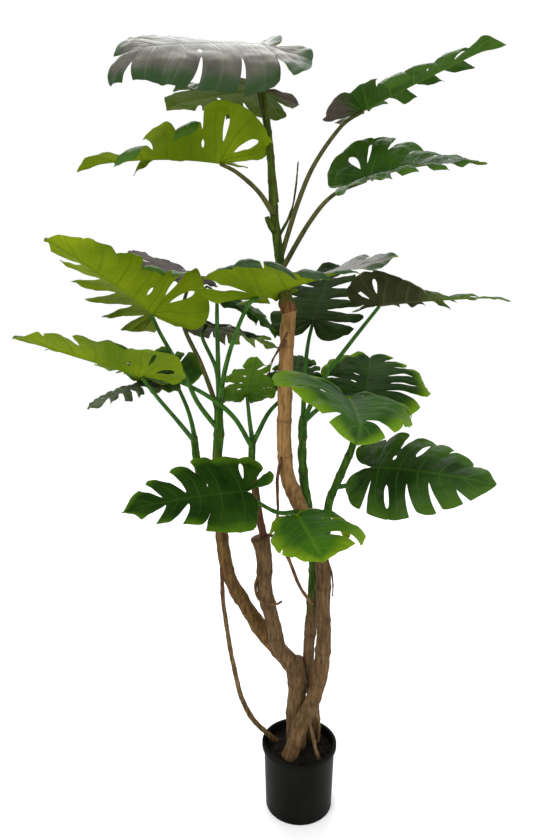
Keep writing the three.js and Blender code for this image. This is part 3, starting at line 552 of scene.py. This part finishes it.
# For each leaf: base, where the stalk joins, and tip, then roll about that line, arch, fold and curl, in
# degrees. What a leaf doesn't say is as usual.
# A roll or a fold given as several numbers changes from the base to the tip.
# partings run from the tip to the base, first on the side that roll lifts, then on the other.
# bends are how far each lobe's end turns down, in degrees, and nod is how far the tip does.
# broad widens the blade, both halves alike or each by its own number.
# tail lengthens the lobes behind the stalk, half by half, and taper narrows the blade towards its tip.
# turnFrom is the share of the way out where a lobe starts to turn.
# places sets the seven partings' places on the half outline, from the tip, and stalk the line up to the base.
usualLeaf = dict(curl=15, nod=0, broad=1, taper=0, tail=(1, 1), turnFrom=0.42,
                 places=(0.15, 0.27, 0.39, 0.51, 0.64, 0.77, 0.89), top="deep", under="yellow")
leaves = {
    "top": dict(
        base=(-0.098, -0.01, 1.796), tip=(-0.402, -0.17, 1.742), roll=(-20, -38), arch=8, fold=2, curl=30,
        nod=60, tail=(1.05, 1), places=(0.08, 0.2, 0.31, 0.46, 0.62, 0.77, 0.89), top="sheen",
        partings=("s.bss..", "s.s.s.."),
        bends=([70, 75, 70, 65, 50, 0, -25, -35], [30, 20, 10, 10, 0, -20, -50, -70])),
    "crown_back": dict(
        base=(-0.1, 0.06, 1.724), tip=(-0.32, 0.23, 1.722), roll=8, arch=12, fold=4, curl=20,
        under="olivePurple", partings=("ss.bs..", "sbs.s.."),
        bends=([20, 30, 10, 25, 10, 0, 0, 10], [20, 10, 30, 10, 20, 0, 0, 10]),
        stalk=[(-0.062, 0.004, 1.49), (-0.072, 0.03, 1.58), (-0.085, 0.045, 1.65)]),
    "upper_left": dict(
        base=(-0.18, -0.02, 1.567), tip=(-0.456, -0.12, 1.545), roll=(33, 8, 0), arch=22, fold=(48, 22, 12),
        curl=14, tail=(1.5, 1), partings=("ddsbOO.", ".ww...."),
        bends=([0, 120, 30, 130, 40, 10, 0, 0], [20, 20, 110, 10, 10, 0, 0, 0]),
        stalk=[(-0.066, -0.004, 1.462), (-0.1, -0.015, 1.51), (-0.145, -0.018, 1.548)]),
    "upper_right": dict(
        base=(0.12, 0.02, 1.677), tip=(0.384, -0.06, 1.79), roll=(-4, 0, 0), arch=5, fold=23, curl=16,
        broad=(1, 0.8), tail=(1, 1.15), under="purpleBase", partings=("swwws..", "dddsn.."),
        bends=([0, 100, 85, 65, 10, 0, 0, 0], [-20, 60, 110, 120, 20, 20, 30, 10]),
        stalk=[(-0.052, 0.006, 1.375), (-0.015, 0.018, 1.49), (0.02, 0.02, 1.57), (0.075, 0.02, 1.645)]),
    "right_high": dict(
        base=(0.128, 0.005, 1.536), tip=(0.345, -0.13, 1.556), roll=(38, 18, 12), arch=24,
        fold=(32, 14, 10), curl=12, broad=1.05, taper=0.3, tail=(1.8, 0.6),
        places=(0.15, 0.27, 0.39, 0.51, 0.62, 0.71, 0.85), under="olive", partings=("dsssOO.", "wwds..."),
        bends=([60, 50, 40, 40, 30, 0, 0, 0], [60, 80, 60, 30, 20, 20, 20, 20]),
        stalk=[(-0.052, -0.006, 1.345), (0.01, -0.012, 1.45), (0.06, -0.008, 1.505)]),
    "left_broad": dict(
        base=(-0.326, -0.06, 1.258), tip=(-0.5, -0.205, 1.412), roll=(42, 26, 22), arch=12,
        fold=(35, 20, 16), broad=1.2, taper=0.35, tail=(1.7, 0.7),
        places=(0.15, 0.27, 0.39, 0.51, 0.61, 0.7, 0.85), partings=(".nsbOO.", "wwwww.."),
        bends=([0, 0, 60, 130, 110, 0, -10, 0], [0, 10, 15, 10, 20, 10, 0, 70]),
        stalk=[(-0.194, -0.002, 0.992), (-0.237, -0.015, 1.056), (-0.26, -0.03, 1.115),
               (-0.285, -0.045, 1.165), (-0.31, -0.055, 1.215)]),
    "left_low": dict(
        base=(-0.352, -0.06, 1.124), tip=(-0.605, -0.12, 1.216), roll=(26, 22), arch=2, fold=(22, 20),
        curl=12, taper=0.3, tail=(1.3, 1), turnFrom=0.62, partings=("ns.oOO.", "wwws..."),
        bends=([0, 0, 10, 90, 20, 0, 0, 0], [0, 10, 10, 10, 10, 0, 0, 0]),
        stalk=[(-0.25, 0.026, 0.955), (-0.285, -0.025, 1.02), (-0.318, -0.062, 1.075)]),
    "left_low_back": dict(
        base=(-0.297, 0.06, 1.096), tip=(-0.44, 0.22, 1.122), roll=-20, arch=15, fold=25, broad=0.85,
        tail=(1, 1.2), top="shade", under="green", partings=("ss.b...", "s.ss..."),
        bends=([20, 10, 20, 10, 0, 0, 0, 0], [10, 20, 10, 20, 10, 0, 0, 0]),
        stalk=[(-0.247, 0.024, 0.95), (-0.265, 0.048, 1.02)]),
    "left_drooping": dict(
        base=(-0.362, 0.02, 1.092), tip=(-0.47, -0.08, 1.056), roll=5, arch=20, fold=5, top="greyed",
        under="olive", partings=("wwww...", "wwww..."),
        bends=([30, 40, 50, 40, 30, 10, 0, 0], [30, 30, 40, 30, 20, 10, 0, 0]),
        stalk=[(-0.117, -0.004, 0.952), (-0.16, -0.026, 1.03), (-0.23, -0.018, 1.082),
               (-0.305, 0.01, 1.106)]),
    "left_back": dict(
        base=(-0.262, 0.12, 1.325), tip=(-0.43, 0.285, 1.392), roll=4, arch=10, fold=4, curl=20, broad=0.85,
        tail=(0.6, 0.6), top="dusk", under="brown", partings=("ddsb...", "dsds..."),
        bends=([20, 10, 30, 10, 20, 0, 0, 0], [10, 30, 20, 10, 10, 0, 0, 0]),
        stalk=[(-0.192, 0, 1.025), (-0.208, 0.014, 1.075), (-0.234, 0.035, 1.14), (-0.278, 0.075, 1.235)]),
    "centre_left_back": dict(
        base=(-0.228, 0.14, 1.214), tip=(-0.045, 0.2, 1.15), roll=-14, arch=15, fold=5, curl=20, top="dark",
        under="greenTip", partings=("wwss...", "wdss..."),
        bends=([10, 20, 10, 20, 10, 0, 0, 0], [0, 10, 30, 20, 10, 0, 0, 0]),
        stalk=[(-0.191, 0.004, 1.05), (-0.2, 0.06, 1.12), (-0.235, 0.105, 1.19)]),
    "centre_front": dict(
        base=(-0.1, -0.1, 1.297), tip=(0.17, -0.18, 1.38), roll=(-26, 0, 24), arch=2, fold=(28, 12, 6),
        broad=1.05, tail=(1, 1.6), turnFrom=0.7, top="sheen", partings=("ssbbs..", "ddss.w."),
        bends=([0, 10, 20, 10, 10, 0, 0, 0], [10, 60, 90, 110, 120, 60, 0, 0]),
        stalk=[(-0.19, -0.004, 1.05), (-0.172, -0.055, 1.142), (-0.146, -0.095, 1.224),
               (-0.12, -0.106, 1.28)]),
    "centre_hanging": dict(
        base=(-0.193, 0.04, 1.3), tip=(-0.06, 0.105, 1.19), roll=0, arch=35, fold=5, curl=20, under="green",
        partings=("ss.....", ".s.s..."),
        bends=([0, 10, 20, 10, 0, 0, 0, 0], [0, 10, 10, 20, 10, 0, 0, 0]),
        stalk=[(-0.191, 0, 1.06), (-0.192, 0.005, 1.16), (-0.193, 0.01, 1.24)]),
    "centre_dark": dict(
        base=(0.025, 0.075, 1.234), tip=(0.095, 0.28, 1.36), roll=0, arch=20, fold=4, curl=20, top="dark",
        under="brown", partings=("sdss...", "wwwwd.."),
        bends=([0, 10, 10, 10, 0, 0, 0, 0], [0, 10, 0, 10, 0, 10, 0, 0]),
        stalk=[(0.001, 0.012, 1.012), (0.005, 0.035, 1.11), (0.012, 0.048, 1.18)]),
    "right_long": dict(
        base=(0.165, 0, 1.272), tip=(0.434, -0.06, 1.292), roll=(-30, -8, -3), arch=10, fold=(35, 12, 8),
        broad=0.85, taper=0.25, under="greenTip", partings=("wwwwds.", "wds.OO."),
        bends=([20, 60, 70, 60, 20, 10, 40, 0], [20, 50, 60, 60, 20, 10, 0, 0]),
        stalk=[(0.003, 0.01, 1.012), (0.045, 0.005, 1.105), (0.105, 0.005, 1.19)]),
    "front_large": dict(
        base=(0.095, -0.09, 1.078), tip=(0.105, -0.25, 1.04), roll=-14, arch=8, fold=26, curl=30, nod=70,
        broad=(2.0, 2.5), tail=(1.2, 1.2), top="middle", partings=("wn.sow.", "s.d...."),
        bends=([40, 40, 50, 60, 50, 55, 45, 20], [30, 20, 20, 25, 20, 15, 10, 0]),
        stalk=[(0.003, 0.006, 1.008), (0.035, -0.04, 1.05), (0.065, -0.075, 1.07)]),
    "right_back": dict(
        base=(0.145, 0.02, 1.074), tip=(0.188, 0.27, 1.125), roll=6, arch=10, fold=20, curl=30,
        broad=(1, 1.3), tail=(1, 1.5), top="rimmed", partings=("..ob...", "ssOOd.."),
        bends=([0, 10, 10, 10, 10, 10, 0, 0], [10, 20, 30, 30, 20, 45, 60, 30]),
        stalk=[(0.121, 0, 0.982), (0.132, 0.008, 1.04)]),
    "right_low": dict(
        base=(0.165, -0.02, 0.908), tip=(0.406, -0.14, 0.905), roll=38, arch=16, fold=-6, curl=10,
        under="green", partings=("nnObn..", "sddOd.."),
        bends=([10, 10, 20, 10, 0, 10, 0, 0], [20, 15, 20, 15, 10, 10, 0, 0]),
        stalk=[(0.078, 0, 0.852), (0.118, -0.016, 0.866), (0.142, -0.02, 0.88)]),
    "front_low": dict(
        base=(-0.013, -0.1, 0.817), tip=(0.029, -0.25, 0.784), roll=15, arch=6, fold=-5, curl=30, nod=20,
        broad=(2.3, 1.15), top="fresh", partings=(".v.v...", "..n.n.."),
        bends=([20, 30, 50, 50, 100, 100, 20, 0], [20, 20, 20, 20, 10, 0, 0, 0]),
        stalk=[(-0.002, -0.014, 0.795), (0.002, -0.06, 0.812)]),
    "left_bottom": dict(
        base=(-0.129, -0.105, 0.877), tip=(-0.387, -0.175, 0.858), roll=-28, arch=12, fold=16, curl=12,
        broad=(0.9, 0.85), tail=(0.4, 1.2), turnFrom=0.15, top="shade", under="green",
        partings=("wwn.n..", "dwb.Od."),
        bends=([0, 0, 5, 10, 60, 110, 120, 120], [0, 0, -5, -5, 0, 10, 0, 0]),
        stalk=[(-0.008, -0.02, 0.8), (-0.055, -0.06, 0.812), (-0.098, -0.09, 0.845)]),
    "small_front": dict(
        base=(-0.128, 0.02, 1.07), tip=(-0.105, -0.09, 1.168), roll=0, arch=10, fold=4, top="middle",
        under="leafy", partings=("dsss...", "sobo..."),
        bends=([0, 10, 90, 20, 10, 0, 0, 0], [0, 10, 10, 20, 0, 0, 0, 0]),
        stalk=[(-0.115, 0.004, 0.96), (-0.122, 0.014, 1.01)]),
    "small_back": dict(
        base=(-0.018, 0.09, 1.084), tip=(0.002, 0.24, 1.131), roll=0, arch=15, fold=4, top="shade",
        under="green", partings=("s.s....", ".ss...."),
        bends=([0, 10, 10, 20, 0, 0, 0, 0], [0, 10, 10, 20, 0, 0, 0, 0]),
        stalk=[(-0.112, 0.004, 0.962), (-0.08, 0.032, 1.02), (-0.048, 0.06, 1.05)]),
}
brownStalks = {"upper_right", "right_high", "left_back", "upper_left", "crown_back"}

outlineLine, _ = smoothLine([(x, y, 0) for x, y in bladeForm["outline"]], bladeForm["outlineStep"])


def outlineAt(along):
    places = np.clip(along, 0, 1) * (len(outlineLine) - 1)
    steps = np.arange(len(outlineLine))
    return np.stack([np.interp(places, steps, outlineLine[:, k]) for k in (0, 1)], axis=-1)


def flatPlace(along, out):
    margin = outlineAt(along)
    onRib = along < bladeForm["ribShare"]
    turn = np.clip(along / bladeForm["ribShare"], 0, 1)
    rib = np.stack([np.where(onRib, bladeForm["ribReach"] * (1 - turn), 0), np.zeros_like(along)], axis=-1)
    reach = np.linalg.norm(margin - rib, axis=-1)
    sweep = np.where(onRib, bladeForm["sweep"] * np.sin(math.pi * turn) * reach, 0)
    middle = (rib + margin) / 2 + np.stack([-sweep, bladeForm["sweepOut"] * sweep], axis=-1)
    r = out[..., None]
    return (1 - r) ** 2 * rib + 2 * r * (1 - r) * middle + r ** 2 * margin


def bladeFrame(leaf):
    start = np.array(leaf["base"])
    chord = np.array(leaf["tip"]) - start
    span = np.linalg.norm(chord)
    forward = chord / span
    level = np.cross((0, 0, 1), forward)
    level /= np.linalg.norm(level)
    rise = np.cross(forward, level)
    roll = np.radians(np.atleast_1d(leaf["roll"]))
    up = rise * math.cos(roll.mean()) - level * math.sin(roll.mean())
    turn = math.radians(max(leaf["arch"], 1))
    length = span * turn / (2 * math.sin(turn / 2))
    return {"start": start, "forward": forward, "level": level, "rise": rise, "up": up, "turn": turn,
            "length": length, "broad": np.broadcast_to(leaf["broad"], 2), "taper": leaf["taper"],
            "roll": roll, "fold": np.radians(np.atleast_1d(leaf["fold"])), "curl": math.radians(leaf["curl"]),
            "nod": math.radians(leaf["nod"])}


# the bent midrib: distance forward, height and slope at each share of the blade's length
def ribLine(shape):
    share = np.linspace(*bladeForm["ribSpan"])
    late = np.clip((share - bladeForm["nodFrom"]) / (1 - bladeForm["nodFrom"]), 0, 1)
    slope = shape["turn"] * (0.5 - share) - shape["nod"] * late * late * (3 - 2 * late)
    step = np.diff(share, prepend=share[0]) * shape["length"]
    forward = np.cumsum(np.cos(slope) * step)
    height = np.cumsum(np.sin(slope) * step)
    zero = np.interp(0, share, forward), np.interp(0, share, height)
    return share, forward - zero[0], height - zero[1], slope


# each column runs from the midrib out to the margin, and turns down as it goes
def bendBlade(shape, flat, hand, lift, extra):
    share, ahead, height, slope = ribLine(shape)
    u = flat[..., 0]
    width = shape["length"] * shape["broad"][0 if hand > 0 else 1]
    across = flat[..., 1] * width * (1 - shape["taper"] * np.clip(u, 0, 1))
    bow = shape["curl"] / (bladeForm["halfWidth"] * width)
    fold = np.interp(u, np.linspace(0, 1, len(shape["fold"])), shape["fold"])
    roll = np.interp(u, np.linspace(0, 1, len(shape["roll"])), shape["roll"])[..., None]
    angle = fold - bow * across - extra
    middle = (angle[:, 1:] + angle[:, :-1]) / 2
    step = np.diff(across, axis=1)
    start = np.zeros((len(u), 1))
    y = np.hstack([start, np.cumsum(np.cos(middle) * step, axis=1)])
    raised = np.hstack([start, np.cumsum(np.sin(middle) * step, axis=1)]) + lift
    tilt = np.interp(u, share, slope)
    forward = np.interp(u, share, ahead) - raised * np.sin(tilt)
    side = shape["level"] * np.cos(roll) + shape["rise"] * np.sin(roll)
    upward = shape["rise"] * np.cos(roll) - shape["level"] * np.sin(roll)
    return (shape["start"] + forward[..., None] * shape["forward"]
            + np.interp(u, share, height)[..., None] * shape["up"]
            + (raised * np.cos(tilt))[..., None] * upward + (hand * y)[..., None] * side)


# half the opening between two lobes at each share of the way out
def openingAt(out, gap):
    opening = np.zeros_like(out)
    if "hole" in gap:
        low, high = gap["hole"]
        place = (out - (low + high) / 2) / ((high - low) / 2)
        opening = gap["holeWidth"] * np.sqrt(np.clip(1 - place ** 2, 0, None))
    if "slit" in gap:
        run = np.clip((out - gap["slit"]) / (1 - gap["slit"]), 0, 1)
        opening = np.maximum(opening, gap["width"] * (0.6 * np.sqrt(run) + 0.4 * run))
    return opening


def variedGap(code, rng):
    gap = dict(partingForms[code])
    if "slit" in gap:
        gap["slit"] = min(partingSpread["slitEnd"], gap["slit"] * rng.uniform(*partingSpread["slit"]))
        gap["width"] *= rng.uniform(*partingSpread["width"])
    if "hole" in gap:
        shift = rng.uniform(*partingSpread["shift"])
        gap["hole"] = (gap["hole"][0] + shift, gap["hole"][1] + shift)
        gap["holeWidth"] *= rng.uniform(*partingSpread["holeWidth"])
    return gap


def crinkled(points, seed):
    broad, fine = bladeForm["crinkleScales"]
    spots = [noise.noise(Vector((x * broad, y * broad, seed)))
             + 0.5 * noise.noise(Vector((x * fine, y * fine, seed + 5)))
             for x, y in points.reshape(-1, 2).tolist()]
    return np.array(spots).reshape(points.shape[:-1])


def ribMask(flat, length):
    return np.exp(-(flat[..., 1] * length / bladeForm["ribWidth"]) ** 2) * (flat[..., 0] > -0.01)


# where a lobe lies on the flat blade: its tip is rounded, or hooked where slits free it on both sides
def lobePlace(along, out, share, lobe, free, tail):
    trimmed = bladeForm["roundTip"] * np.abs(2 * share - 1) ** 3
    trimmed += bladeForm["hookedTip"] * share ** 3 if free else 0
    flat = flatPlace(along, out * (1 - trimmed * (lobe > 0) * out ** 4))
    behind = np.clip(-flat[..., 0], 0, None)
    flat[..., 0] -= (tail - 1) * behind * np.clip(behind / bladeForm["tailFrom"], 0, 1)
    return flat


# how far a lobe turns down, blended with its neighbour's turn where no slit parts them
def lobeTurn(share, bends, lobe, gaps):
    turn = np.full_like(share, bends[lobe])
    if lobe > 0 and "slit" not in gaps[lobe]:
        turn += (bends[lobe - 1] - bends[lobe]) / 2 * (1 - share) ** 2
    if lobe < len(bends) - 1 and "slit" not in gaps[lobe + 1]:
        turn += (bends[lobe + 1] - bends[lobe]) / 2 * share ** 2
    return np.radians(turn)


# the lobes of one half, each with its points, its cells and the fields that the finishes read
def halfLobes(shape, leaf, half, rng, seed):
    hand = 1 - 2 * half
    evenRows = np.linspace(bladeForm["rowsFrom"], 1, bladeForm["rows"])
    rows = np.concatenate([bladeForm["firstRows"], evenRows])
    share, out = np.meshgrid(bladeForm["shares"], rows, indexing="ij")
    edges = [0, *leaf["places"], 1]
    turnFrom = leaf["turnFrom"]
    late = np.clip((rows - turnFrom) / (1 - turnFrom), 0, 1) ** bladeForm["bendPower"]
    tail = leaf["tail"][half]
    gaps = [{}] + [variedGap(code, rng) for code in leaf["partings"][half]] + [{}]
    spread = bladeForm["bendSpread"]
    bends = [bend + rng.uniform(-spread, spread) for bend in leaf["bends"][half]]
    phase = rng.uniform(0, 6.28)
    grid = np.arange(share.size).reshape(share.shape)
    cells = np.stack([grid[:-1, :-1], grid[:-1, 1:], grid[1:, 1:], grid[1:, :-1]], axis=-1).reshape(-1, 4)
    lobes = []
    for lobe in range(len(bends)):
        low = edges[lobe] + openingAt(rows, gaps[lobe])
        high = edges[lobe + 1] - openingAt(rows, gaps[lobe + 1])
        along = low[None, :] + (high - low)[None, :] * share
        free = "slit" in gaps[lobe] and "slit" in gaps[lobe + 1]
        flat = lobePlace(along, out, share, lobe, free, tail)
        signed = np.stack([flat[..., 0], flat[..., 1] * hand], axis=-1)
        lift = bladeForm["crinkle"] * crinkled(signed, seed) * out
        lift += bladeForm["waveHeight"] * np.sin(along * bladeForm["waves"] + phase) * out ** 2
        sag = np.abs(2 * share - 1) ** 2 * out * (1 - 0.4 * out)
        lift -= bladeForm["corrugation"] * shape["length"] * sag
        points = bendBlade(shape, flat, hand, lift, lobeTurn(share, bends, lobe, gaps) * late[None, :])
        sideVein = np.exp(-((share - 0.5) / bladeForm["sideVein"]) ** 2) * np.clip(1.15 - out, 0, 1)
        # a wave across each lobe that marks the pleats, for their painted shade and their bump
        pleatShade = 0.5 + 0.5 * np.cos(2 * math.pi * share * bladeForm["pleats"] + out * 3)
        lobes.append({
            "points": points.reshape(-1, 3), "flat": signed.reshape(-1, 2),
            "vein": np.maximum(sideVein, ribMask(flat, shape["length"])).ravel(), "margin": out.ravel(),
            "fineVein": pleatShade.ravel(), "reach": flat[..., 0].ravel(),
            "cells": cells if hand > 0 else cells[:, ::-1],
        })
    return lobes


def pointNormals(points, cells):
    normals = np.zeros_like(points)
    across = points[cells[:, 2]] - points[cells[:, 0]]
    facing = np.cross(across, points[cells[:, 3]] - points[cells[:, 1]])
    for corner in range(4):
        np.add.at(normals, cells[:, corner], facing)
    return normals / np.maximum(np.linalg.norm(normals, axis=1), 1e-12)[:, None]


# an upper side and a lower side with raised veins, joined by a narrow rim along every open edge
def closedBlade(parts, cells, length):
    points, flat = parts["points"], parts["flat"]
    normals = pointNormals(points, cells)
    faces = [list(dict.fromkeys(cell)) for cell in cells.tolist()]
    faces = [face for face in faces if len(face) > 2]
    rib = ribMask(flat, length) * np.clip((1.05 - flat[:, 0]) * 2, 0, 1)
    half = bladeForm["thickness"] / 2
    ridge = np.maximum(bladeForm["veinRidge"] * parts["vein"], bladeForm["ribRidge"] * rib)
    upper = points + normals * (half - bladeForm["groove"] * parts["vein"])[:, None]
    lower = points - normals * (half + ridge)[:, None]
    total = len(points)
    used = {(a, b) for face in faces for a, b in zip(face, face[1:] + face[:1])}
    under = [[i + total for i in reversed(face)] for face in faces]
    rim = [[b, a, a + total, b + total] for a, b in sorted(used) if (b, a) not in used]
    looks = [0] * len(faces) + [1] * (len(under) + len(rim))
    return np.vstack([upper, lower]), faces + under + rim, looks


def bladeMesh(name, leaf):
    rng = random.Random("blade " + name)
    seed = rng.uniform(0, 90)
    shape = bladeFrame(leaf)
    lobes = halfLobes(shape, leaf, 0, rng, seed) + halfLobes(shape, leaf, 1, rng, seed)
    size = len(lobes[0]["points"])
    cells = np.vstack([lobe.pop("cells") + i * size for i, lobe in enumerate(lobes)])
    parts = {label: np.concatenate([lobe[label] for lobe in lobes]) for label in lobes[0]}
    # points that share a place on the flat blade become one
    places = np.round(parts["flat"] * 1e5).astype(np.int64)
    _, first, which = np.unique(places, axis=0, return_index=True, return_inverse=True)
    parts = {label: values[first] for label, values in parts.items()}
    verts, faces, looks = closedBlade(parts, which.ravel()[cells], shape["length"])
    mesh = plainMesh("blade_" + name, verts.tolist(), faces)
    mesh.polygons.foreach_set("material_index", looks)
    for label in ("vein", "margin", "fineVein", "reach"):
        layer = mesh.attributes.new(label, "FLOAT", "POINT")
        layer.data.foreach_set("value", np.tile(parts[label], 2).astype(np.float32))
    mesh.set_sharp_from_angle(angle=math.radians(bladeForm["sharp"]))
    return mesh


def latheMesh(name, profile, around):
    verts = []
    for radius, height in profile:
        for k in range(around):
            angle = 2 * math.pi * k / around
            verts.append((radius * math.cos(angle), radius * math.sin(angle), height))
    verts += [(0, 0, profile[0][1]), (0, 0, profile[-1][1])]
    return plainMesh(name, verts, tubeFaces(len(profile), around))


potForm = {"foot": 0.084, "top": 0.089, "rim": 0.094, "wall": 0.003, "lip": 0.012, "round": 0.0022,
           "sides": 128, "dark": (0.0025, 0.0025, 0.002), "light": (0.006, 0.006, 0.005)}


def makePot(material):
    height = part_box("pot")[1][2]
    lipLow = height - potForm["lip"]
    foot, top, wall, r = (potForm[key] for key in ("foot", "top", "wall", "round"))
    small = r / 2
    rim = potForm["rim"] - small
    corner = [math.radians(a) for a in (0, 22, 45, 68, 90)]
    outer = [(foot - r + r * math.sin(a), r - r * math.cos(a)) for a in corner]
    lipUnder = [(rim + small * math.sin(a), lipLow + small - small * math.cos(a)) for a in corner]
    lipOver = [(rim + small * math.cos(a), height - small + small * math.sin(a)) for a in corner]
    inside = [(top - wall, height), (top - wall - 0.0006, height - 0.001), (foot - wall, wall)]
    profile = outer + [(top - 0.0003, lipLow - 0.001), (top, lipLow)] + lipUnder + lipOver + inside
    mesh = latheMesh("nurseryPot", profile, potForm["sides"])
    finishPiece("nurseryPot", mesh, [material], "pot")


soilForm = {"edge": 0.0845, "rings": 40, "around": 110, "crown": 0.0055, "lump": 0.0035, "lumpScale": 60,
            "crumbs": 650, "crumbSize": (0.0012, 0.0036), "crumbSpread": (0.7, 1.3),
            "dark": (0.003, 0.0025, 0.002), "light": (0.018, 0.014, 0.01)}


def makeSoil(material):
    crown = soilForm["crown"]
    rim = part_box("soil")[1][2] - crown
    verts = []
    faces = []
    edge, rings, around = soilForm["edge"], soilForm["rings"], soilForm["around"]
    for i in range(rings + 1):
        radius = edge * i / rings
        for k in range(around):
            angle = 2 * math.pi * k / around
            spot = Vector((radius * math.cos(angle), radius * math.sin(angle), 0))
            lump = noise.fractal(spot * soilForm["lumpScale"], 0.7, 2.0, 4) * soilForm["lump"]
            swell = crown * (1 - (radius / edge) ** 2)
            verts.append((spot.x, spot.y, rim + swell + lump))
    for i in range(rings):
        for k in range(around):
            n = (k + 1) % around
            faces.append((i * around + k, (i + 1) * around + k, (i + 1) * around + n, i * around + n))
    rng = random.Random("crumbs")
    corners = [(1, 0, 0), (-1, 0, 0), (0, 1, 0), (0, -1, 0), (0, 0, 1), (0, 0, -1)]
    sides = [(0, 2, 4), (2, 1, 4), (1, 3, 4), (3, 0, 4), (2, 0, 5), (1, 2, 5), (3, 1, 5), (0, 3, 5)]
    for _ in range(soilForm["crumbs"]):
        radius = edge * math.sqrt(rng.random()) * 0.97
        angle = rng.uniform(0, 2 * math.pi)
        size = rng.uniform(*soilForm["crumbSize"])
        height = rim + crown * (1 - (radius / edge) ** 2) + size * 0.4
        start = len(verts)
        for x, y, z in corners:
            reach = size * rng.uniform(*soilForm["crumbSpread"])
            verts.append((radius * math.cos(angle) + x * reach, radius * math.sin(angle) + y * reach,
                          height + z * reach * 0.7))
        faces += [tuple(start + i for i in side) for side in sides]
    finishPiece("soilTop", plainMesh("soilTop", verts, faces), [material], "soil")


def makeFloor():
    half = studio["floorSize"] / 2
    corners = [(-half, -half, 0), (half, -half, 0), (half, half, 0), (-half, half, 0)]
    mesh = plainMesh("floor", corners, [(0, 1, 2, 3)])
    mesh.materials.append(floorPaint())
    addObject("floor", mesh)


makeCamera()
for lamp in studio["lamps"]:
    makeLamp(*lamp)
scene.view_settings.view_transform = "Standard"
world = bpy.data.worlds.new("studio")
world.use_nodes = True
backdrop = world.node_tree.nodes["Background"].inputs
backdrop["Color"].default_value = studio["worldColour"]
backdrop["Strength"].default_value = studio["worldStrength"]
scene.world = world
makeFloor()
print("camera, light and floor made")

makePot(potPlastic())
makeSoil(soilFill())
print("pot and soil made")

skins = {name: barkSkin(name, finish) for name, finish in barkFinishes.items()}
for seed, (node, skin, form, radii, path) in enumerate(stems):
    mesh = stemMesh(node + "_skin", path, radii, stemForms[form], seed)
    finishPiece(node + "_skin", mesh, [skins[skin]], node)
for seed, (name, skin, radii, path) in enumerate(trims):
    mesh = stemMesh(name, path, radii, stemForms["root"], seed + stemNoise["trimSeed"])
    finishPiece(name, mesh, [skins[skin]])
print("canes and roots made")

tops = {name: leafSkin("top", name, finish) for name, finish in topFinishes.items()}
unders = {name: leafSkin("under", name, finish) for name, finish in underFinishes.items()}
stalks = {name: stalkSkin(name) for name in ("green", "brown")}
for name, own in leaves.items():
    leaf = {**usualLeaf, **own}
    mesh = bladeMesh(name, leaf)
    finishPiece("leaf_" + name, mesh, [tops[leaf["top"]], unders[leaf["under"]]], "blade_" + name)
    if "stalk" in leaf:
        shape = bladeFrame(leaf)
        end = shape["start"] - shape["up"] * stalkForm["drop"]
        path = [*leaf["stalk"], tuple(end)]
        mesh = stemMesh("petiole_" + name, path, stalkForm["radii"], stemForms["stalk"])
        skin = stalks["brown" if name in brownStalks else "green"]
        finishPiece("petiole_" + name, mesh, [skin], "stalk_" + name)
print("leaves made:", len(leaves))
